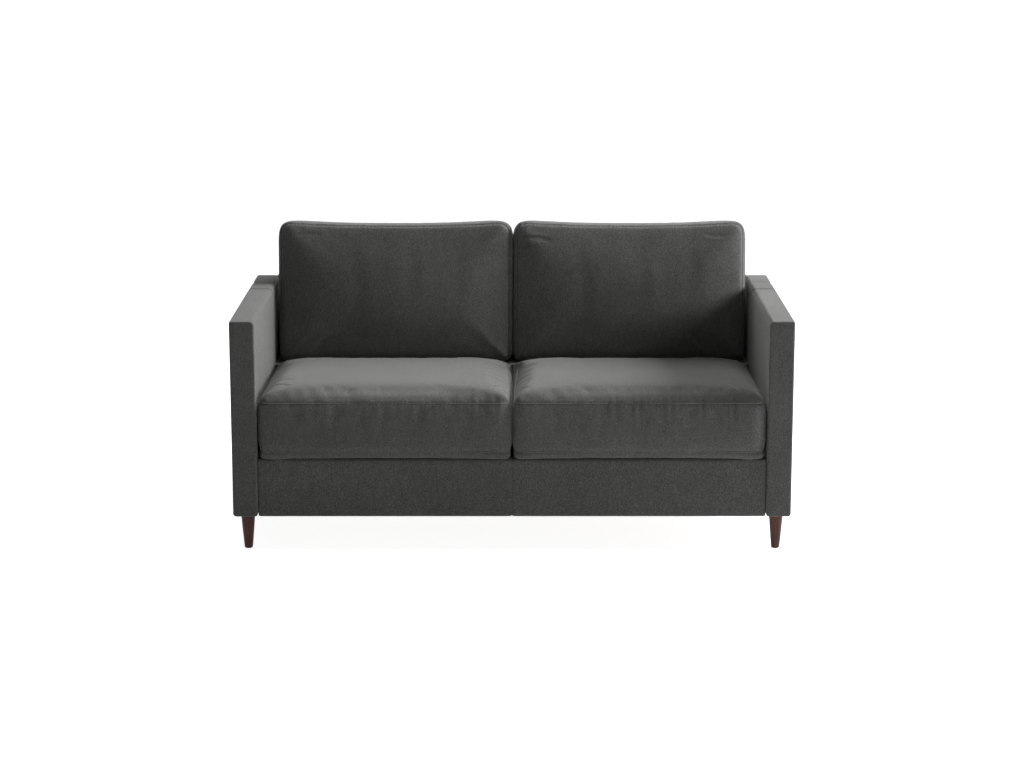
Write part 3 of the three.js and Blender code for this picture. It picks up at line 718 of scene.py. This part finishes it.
# Fills a cushion: the cover is remeshed and blown up as cloth with its seams held. The way that each
# point moved is cut to cap * tanh(way / cap), and the cover is evened out and subdivided once.
def fillCushion(piece, look, seams):
    remesh = piece.modifiers.new("even", "REMESH")
    remesh.mode = "VOXEL"
    remesh.voxel_size = look["voxel"] * mm
    settle(piece)
    start = meshPoints(piece)
    held = np.zeros(len(start), dtype=bool)
    for path in seams:
        held |= nearest(start, path)[0] < clothLook["held"]
    group = piece.vertex_groups.new(name="seams")
    group.add(np.flatnonzero(held).tolist(), 1.0, "REPLACE")
    cloth = piece.modifiers.new("cover", "CLOTH")
    for setting, value in clothLook["settings"].items():
        setattr(cloth.settings, setting, value)
    cloth.settings.uniform_pressure_force = look["pressure"]
    cloth.settings.shrink_min = look["slack"]
    cloth.settings.effector_weights.gravity = 0
    cloth.collision_settings.use_collision = False
    cloth.point_cache.frame_start = 1
    cloth.point_cache.frame_end = look["frames"]
    for number in range(1, look["frames"] + 1):
        bpy.context.scene.frame_set(number)
    settle(piece)
    bpy.context.scene.frame_set(1)
    moved = meshPoints(piece) - start
    reach = np.maximum(np.linalg.norm(moved, axis=1, keepdims=True), 1e-6)
    setPoints(piece, start + moved * np.minimum(1, look["cap"] * np.tanh(reach / look["cap"]) / reach))
    piece.vertex_groups.clear()
    even = piece.modifiers.new("even", "SMOOTH")
    even.factor = 0.5
    even.iterations = look["evenings"]
    settle(piece)
    finer = piece.modifiers.new("finer", "SUBSURF")
    finer.levels = finer.render_levels = 1
    settle(piece)


# Sinks a seam into a cushion, and puckers the cloth beside it with a sum of sine waves whose height
# fades away from the seam.
def sewSeam(piece, path, side, seed, depth, pucker, fade):
    points, normals = meshPoints(piece), meshVectors(piece, "normal")
    distance, which = nearest(points, path)
    lengths = np.linalg.norm(np.diff(path, axis=0, append=path[:1]), axis=1)
    along = np.cumsum(lengths)[which]
    random = np.random.default_rng(seed + (5 if side > 0 else 0))
    wave = sum(random.uniform(0.4, 1.0) * np.sin(2 * math.pi * along / length + random.uniform(0, 6.28))
               for length in clothLook["waves"])
    patch = 0.5 + 0.5 * np.sin(along / clothLook["patch"] + random.uniform(0, 6.28))
    lift = pucker * wave * 0.4 * patch * np.exp(-distance / fade) * np.clip(distance / 6, 0, 1)
    sink = seamDip(distance, depth, clothLook["seamWidth"], depth * 0.5, clothLook["seamWidth"] * 4)
    setPoints(piece, points + normals * (lift - sink)[:, None])


# Presses a short crease into a piece, seen along one axis: on a slightly bowed line the cloth sinks
# by depth * exp(-(d / width)^2) and rises on one side of it, fading to both ends.
def crease(piece, axis, start, finish, depth, width):
    points, normals = meshPoints(piece), meshVectors(piece, "normal")
    flat = np.delete(points, axis, axis=1) - np.array(start)
    way = np.array(finish, dtype=float) - np.array(start)
    length = np.linalg.norm(way)
    share = np.clip(flat @ way / length ** 2, 0, 1)
    fading = np.sin(math.pi * share)
    across = flat @ np.array([-way[1], way[0]]) / length - clothLook["bow"] * length * fading
    lift = 0.6 * np.exp(-((across - 1.7 * width) / width) ** 2) - np.exp(-(across / width) ** 2)
    facing = np.clip(normals[:, axis] * (1 if axis == 2 else -1), 0, 1)
    setPoints(piece, points + normals * (depth * lift * fading * facing)[:, None])


# Path laid on a piece: rays from outside find the surface below each start point.
def pathOn(piece, starts, ways):
    mesh = piece.data
    tree = BVHTree.FromPolygons([v.co for v in mesh.vertices], [p.vertices for p in mesh.polygons])
    hits = [tree.ray_cast(Vector(start * mm), Vector(way))[0] for start, way in zip(starts, ways)]
    return np.array([np.array(hit) for hit in hits if hit is not None]) / mm


# Thin round cord along a closed path, for the lip of a seam. Its cloth is paler than the cushion's, a painted
# highlight along the seam. Its rings start square to a slanted line that no part of a path follows.
def seamLip(name, path, radius, body, count=6):
    ahead = np.roll(path, -1, axis=0) - np.roll(path, 1, axis=0)
    ahead /= np.linalg.norm(ahead, axis=1, keepdims=True)
    across = np.cross(ahead, np.array([0.31, 0.17, 0.93]))
    across /= np.linalg.norm(across, axis=1, keepdims=True)
    up = np.cross(across, ahead)
    turn = np.linspace(0, 2 * math.pi, count, endpoint=False)[None, :, None]
    rings = path[:, None, :] + radius * (across[:, None, :] * np.cos(turn) + up[:, None, :] * np.sin(turn))
    points = np.concatenate([rings, rings[:1]]).reshape(-1, 3)
    piece = makePiece(name, points, loopQuads(len(rings) + 1, count), seamHighlightCloth, "cushion_fabric")
    turnOutward(piece)
    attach(piece, body)


# Keeps a cushion's points above its floor and inside its bay, and bends the side by its neighbour by
# nest * sin over the depth, so that the two nest and nothing shows through.
def fitBay(points, side, look):
    points[:, 2] = np.maximum(points[:, 2], look["floor"])
    front, rear = look["nest"]
    share = np.clip((points[:, 1] - front) / (rear - front), 0, 1)
    x = side * np.clip(side * points[:, 0], *look["bay"])
    bend = clothLook["nest"] * np.sin(math.pi * share)
    points[:, 0] = x + bend * np.exp(-(x / clothLook["nestReach"]) ** 2)


# Flattens a seat's rear face, because the bed's folding legs stand close behind it: past the line
# reliefFrom, each point gives up a share of its distance.
def relieve(points):
    points[:, 1] -= np.maximum(points[:, 1] - seatLook["reliefFrom"], 0) * seatLook["relief"]


# a crease gives its start, its finish (x and y from above on the seats), its depth and its width
seatLook = dict(
    near=1.6, far=748.0, front=-437.5, rear=193.0, low=281.0, top=484.0, plan=24.0, rearPlan=16.0,
    lowEdge=9.0, topEdge=34.0, crown=1.0, rearFall=22.0, frontFall=8.0, sideFall=18.0, soft=150.0,
    crownFrom=440.0, crownOver=46.0, cap=9.0, frames=16, voxel=7.5, pressure=2.6, slack=-0.012, evenings=5,
    bay=(0.6, 751.5), floor=280.6, nest=(-440.0, 190.0), reliefFrom=183.0, relief=0.52, fill=0.85,
    seams=(dict(height=303.0, lip=1.2, sewing=dict(seed=11, depth=4.2, pucker=0.6, fade=30.0)),
           dict(height=450.0, lip=2.0, sewing=dict(seed=12, depth=4.2, pucker=1.9, fade=30.0))),
    creases=dict(
        left=[((-735, -330), (-650, -372), 2.2, 9), ((-728, -250), (-640, -300), 1.8, 10),
              ((-690, -405), (-660, -350), 1.8, 6), ((-490, -418), (-470, -372), 1.8, 7),
              ((-60, -380), (-20, -330), 2.0, 8), ((-110, -410), (-90, -370), 1.4, 6)],
        right=[((735, -330), (650, -372), 2.2, 9), ((728, -240), (640, -290), 1.8, 10),
               ((680, -405), (655, -350), 1.8, 6), ((330, -418), (350, -376), 1.5, 7),
               ((60, -380), (20, -330), 2.0, 8), ((560, -415), (545, -372), 1.4, 6)]))

for word, side in sides:
    look = seatLook
    lowX, highX = sorted((side * look["near"], side * look["far"]))
    middle = np.array([(lowX + highX) / 2, (look["front"] + look["rear"]) / 2])
    halfX, halfY = (highX - lowX) / 2, (look["rear"] - look["front"]) / 2

    # crown: the top rises by crown * (1 - u^2) * (1 - v^2), falls to the rear with the square of
    # the distance, and falls off over the last stretch before its front and its sides
    def puff(points):
        x, y, z = points.T
        u, v = np.clip((x - middle[0]) / halfX, -1, 1), np.clip((y - middle[1]) / halfY, -1, 1)
        front = np.clip(1 - (y - look["front"]) / look["soft"], 0, 1)
        outer = np.clip(1 - (halfX - np.abs(x - middle[0])) / look["soft"], 0, 1)
        rise = look["crown"] * (1 - u ** 2) * (1 - v ** 2) - look["rearFall"] * ((v + 1) / 2) ** 2
        rise -= look["frontFall"] * front ** 2 + look["sideFall"] * outer ** 2 * (0.35 + 0.65 * (v + 1) / 2)
        return np.stack([x, y, z + rise * np.clip((z - look["crownFrom"]) / look["crownOver"], 0, 1)], axis=1)

    stations = slabStations(look["low"], look["top"], look["lowEdge"], look["topEdge"], halfY, 8, 9, 8)
    outline = ((lowX, look["front"]), (highX, look["rear"]), (look["rearPlan"],) * 2 + (look["plan"],) * 2)
    cushion = slab(f"seat_cushion_{word}_cover", (0, 1), *outline, stations, cushionCloth, "cushion_fabric",
                   puff, 8, 26)
    rim = roundedLoop(*outline, 0.0, 12, 60)
    heights = [np.full(len(rim), seam["height"]) for seam in look["seams"]]
    fillCushion(cushion, look, [np.column_stack([rim, height]) for height in heights])
    ways = np.column_stack([middle - rim, np.zeros(len(rim))])
    ways /= np.linalg.norm(ways, axis=1, keepdims=True)
    for number, seam in enumerate(look["seams"]):
        starts = np.column_stack([rim + 0.25 * (rim - middle), np.full(len(rim), seam["height"])])
        sewSeam(cushion, pathOn(cushion, starts, ways), side, **seam["sewing"])
        path = pathOn(cushion, starts, ways)
        relieve(path)
        seamLip(f"seat_seam_{word}_{number}", path, seam["lip"], "foot_section")
    for start, finish, depth, width in look["creases"][word]:
        crease(cushion, 2, start, finish, depth, width)
    points = meshPoints(cushion)
    relieve(points)
    fitBay(points, side, look)
    setPoints(cushion, points)
    shadeSmooth(cushion)
    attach(cushion, "foot_section")
    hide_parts(f"seat_cushion_{word}")
print("seat cushions made")

# here a crease's start and finish are x and z, seen from the front
backLook = dict(
    near=0.9, far=742.0, front=200.0, rear=352.0, low=443.0, high=887.0, peak=13.0, tilt=27.0, lean=42.0,
    swell=20.0, swellEnd=260.0, swellOver=60.0, corner=42.0, lowCorner=24.0, frontEdge=26.0, rearEdge=16.0,
    rearSeamAt=334.0, edgeBand=30.0, rayStart=60.0, cap=9.0, frames=14, voxel=7.5, pressure=1.6, slack=0.0,
    evenings=9, bay=(0.5, 751.5), floor=441.3, nest=(200.0, 390.0), panelTop=700.0, panelFront=387.7,
    lip=1.3, fill=0.8,
    frontSewing=dict(seed=31, depth=4.2, pucker=1.0, fade=18.0),
    rearSewing=dict(seed=51, depth=3.0, pucker=2.6, fade=26.0),
    creases=dict(
        left=[((-700, 842), (-600, 852), 1.6, 6), ((-60, 700), (-14, 720), 1.6, 7),
              ((-640, 480), (-560, 530), 1.8, 9), ((-520, 840), (-500, 560), 0.9, 26),
              ((-330, 850), (-345, 600), 0.9, 24), ((-180, 840), (-190, 620), 0.8, 22)],
        right=[((24, 838), (128, 830), 2.4, 6), ((30, 800), (90, 812), 1.2, 7),
               ((690, 850), (600, 856), 1.6, 6), ((640, 480), (570, 540), 1.8, 9),
               ((200, 850), (215, 560), 0.9, 24), ((400, 850), (385, 600), 0.9, 26),
               ((560, 840), (550, 640), 0.8, 22)]))

for word, side in sides:
    look = backLook
    lowX, highX = sorted((side * look["near"], side * look["far"]))
    middleX, halfX = (lowX + highX) / 2, (highX - lowX) / 2
    middleZ, halfZ = (look["low"] + look["high"]) / 2, (look["high"] - look["low"]) / 2

    # lean: the cushion tips back as it rises, its front swells with (1 - u^2) * (1 - w^2), and its
    # top dips between the corners and tilts down to the rear
    def puff(points):
        x, y, z = points.T
        u, w = np.clip((x - middleX) / halfX, -1, 1), np.clip((z - middleZ) / halfZ, -1, 1)
        swell = look["swell"] * (1 - u ** 2) * (1 - w ** 2) * (1 - 0.25 * w)
        swell *= np.clip((look["swellEnd"] - y) / look["swellOver"], 0, 1)
        back = np.clip((y - look["front"]) / (look["rear"] - look["front"]), 0, 1)
        y = y + look["lean"] * (w + 1) / 2 - swell
        rise = look["peak"] * np.abs(u) ** 2.4 - look["tilt"] * back
        return np.stack([x, y, z + rise * (w + 1) / 2], axis=1)

    # the outline drawn in by an inset, and where puff takes it from one depth
    def puffedLoop(inset, depth):
        loop = roundedLoop(*outline, inset, 12, 60)
        return loop, puff(np.column_stack([loop[:, 0], np.full(len(loop), depth), loop[:, 1]]))

    stations = slabStations(look["front"], look["rear"], look["frontEdge"], look["rearEdge"], halfZ, 8, 8, 8)
    outline = ((lowX, look["low"]), (highX, look["high"]), (look["corner"],) * 2 + (look["lowCorner"],) * 2)
    cushion = slab(f"back_cushion_{word}_cover", (0, 2), *outline, stations, cushionCloth, "cushion_fabric",
                   puff, 9, 26)
    # the front seam lies half way round the front edge, where its slope is 45 degrees
    turnIn = look["frontEdge"] * (1 - math.sqrt(0.5))
    rim, frontPath = puffedLoop(turnIn, look["front"] + turnIn)
    rearPath = puffedLoop(0.0, look["rearSeamAt"])[1]
    awayX, awayZ = rim[:, 0] - middleX, rim[:, 1] - middleZ
    outwards = np.column_stack([np.sign(awayX) * (np.abs(awayX) > halfX - look["edgeBand"]),
                                -np.ones(len(rim)),
                                np.sign(awayZ) * (np.abs(awayZ) > halfZ - look["edgeBand"])])
    outwards /= np.linalg.norm(outwards, axis=1, keepdims=True)
    starts = frontPath + outwards * look["rayStart"]
    fillCushion(cushion, look, [frontPath, rearPath])
    sewSeam(cushion, pathOn(cushion, starts, -outwards), side, **look["frontSewing"])
    sewSeam(cushion, rearPath, side, **look["rearSewing"])
    seamLip(f"back_seam_{word}", pathOn(cushion, starts, -outwards), look["lip"], f"loose_cushion_{word}")
    for start, finish, depth, width in look["creases"][word]:
        crease(cushion, 1, start, finish, depth, width)
    points = meshPoints(cushion)
    fitBay(points, side, look)
    lower = points[:, 2] < look["panelTop"]
    points[lower, 1] = np.minimum(points[lower, 1], look["panelFront"])
    setPoints(cushion, points)
    shadeSmooth(cushion)
    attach(cushion, f"loose_cushion_{word}")
    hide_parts(f"back_cushion_{word}")
print("back cushions made")

shot = dict(eye=(0.0, -7.601, 2.015), pitch=11.87, lens=87.8, sensor=36.0)
camera = bpy.data.cameras.new("camera")
camera.lens = shot["lens"]
camera.sensor_width = shot["sensor"]
cameraObject = bpy.data.objects.new("camera", camera)
bpy.context.scene.collection.objects.link(cameraObject)
cameraObject.location = shot["eye"]
cameraObject.rotation_euler = (math.radians(90 - shot["pitch"]), 0, 0)
bpy.context.scene.camera = cameraObject


# Adds nodes that give 1 for a camera, glossy or transmission ray and 0 for any other ray.
def directRay(tree):
    rays = tree.nodes.new("ShaderNodeLightPath")
    seen = rays.outputs["Is Camera Ray"]
    for kind in ("Is Glossy Ray", "Is Transmission Ray"):
        either = tree.nodes.new("ShaderNodeMath")
        either.operation = "MAXIMUM"
        tree.links.new(seen, either.inputs[0])
        tree.links.new(rays.outputs[kind], either.inputs[1])
        seen = either.outputs[0]
    return seen


# the floor's extent in metres, and how bright floor and room are to each kind of ray
studioLook = dict(extent=60.0, floorGlow=0.91, floorTone=0.8, roomLight=0.08, backdrop=1.0)
extent = studioLook["extent"]
floorMesh = bpy.data.meshes.new("floor")
corners = [(u * extent, v * extent, 0) for u, v in ((-1, -1), (1, -1), (1, 1), (-1, 1))]
floorMesh.from_pydata(corners, [], [(0, 1, 2, 3)])
floor = bpy.data.objects.new("floor", floorMesh)
bpy.context.scene.collection.objects.link(floor)
paper = Finish("paper", Roughness=0.9, Base_Color=(studioLook["floorTone"],) * 3 + (1,),
               Emission_Color=(1, 1, 1, 1))
paper.link(Wave(paper, directRay(paper.tree)) * studioLook["floorGlow"], "Emission Strength")
floorMesh.materials.append(paper.material)

world = bpy.data.worlds.new("studio")
bpy.context.scene.world = world
world.use_nodes = True
sky = world.node_tree
room = sky.nodes["Background"]
backdrop = sky.nodes.new("ShaderNodeBackground")
for background, strength in ((room, studioLook["roomLight"]), (backdrop, studioLook["backdrop"])):
    background.inputs["Color"].default_value = (1, 1, 1, 1)
    background.inputs["Strength"].default_value = strength
skyMix = sky.nodes.new("ShaderNodeMixShader")
for socket, output in enumerate((directRay(sky), room.outputs[0], backdrop.outputs[0])):
    sky.links.new(output, skyMix.inputs[socket])
sky.links.new(skyMix.outputs[0], sky.nodes["World Output"].inputs["Surface"])

# places and sizes in metres, power in watts
lamps = dict(overheadRear=dict(spot=(0.0, 1.8, 3.0), aim=(0, 0, 0.5), size=(3.0, 1.5), power=71),
             overhead=dict(spot=(0.4, -0.2, 3.2), aim=(0, 0, 0.4), size=(1.5, 1.5), power=12),
             sideKey=dict(spot=(5.6, 0.2, 3.2), aim=(-0.2, 0, 0.5), size=(2.0, 2.0), power=505),
             sideLow=dict(spot=(6.0, 0.3, 2.2), aim=(-0.2, 0, 0.5), size=(1.25, 1.25), power=63),
             frontLow=dict(spot=(3.0, -5.0, 0.8), aim=(0, 0, 0.4), size=(1.2, 1.2), power=16))
for name, look in lamps.items():
    lamp = bpy.data.lights.new(name, "AREA")
    lamp.shape = "RECTANGLE"
    lamp.size, lamp.size_y = look["size"]
    lamp.energy = look["power"]
    lampObject = bpy.data.objects.new(name, lamp)
    bpy.context.scene.collection.objects.link(lampObject)
    lampObject.location = look["spot"]
    way = Vector(look["aim"]) - Vector(look["spot"])
    lampObject.rotation_euler = way.to_track_quat("-Z", "Y").to_euler()

scene = bpy.context.scene
scene.view_settings.view_transform = "Standard"
scene.frame_start, scene.frame_end = 1, 20
print("camera and light set")
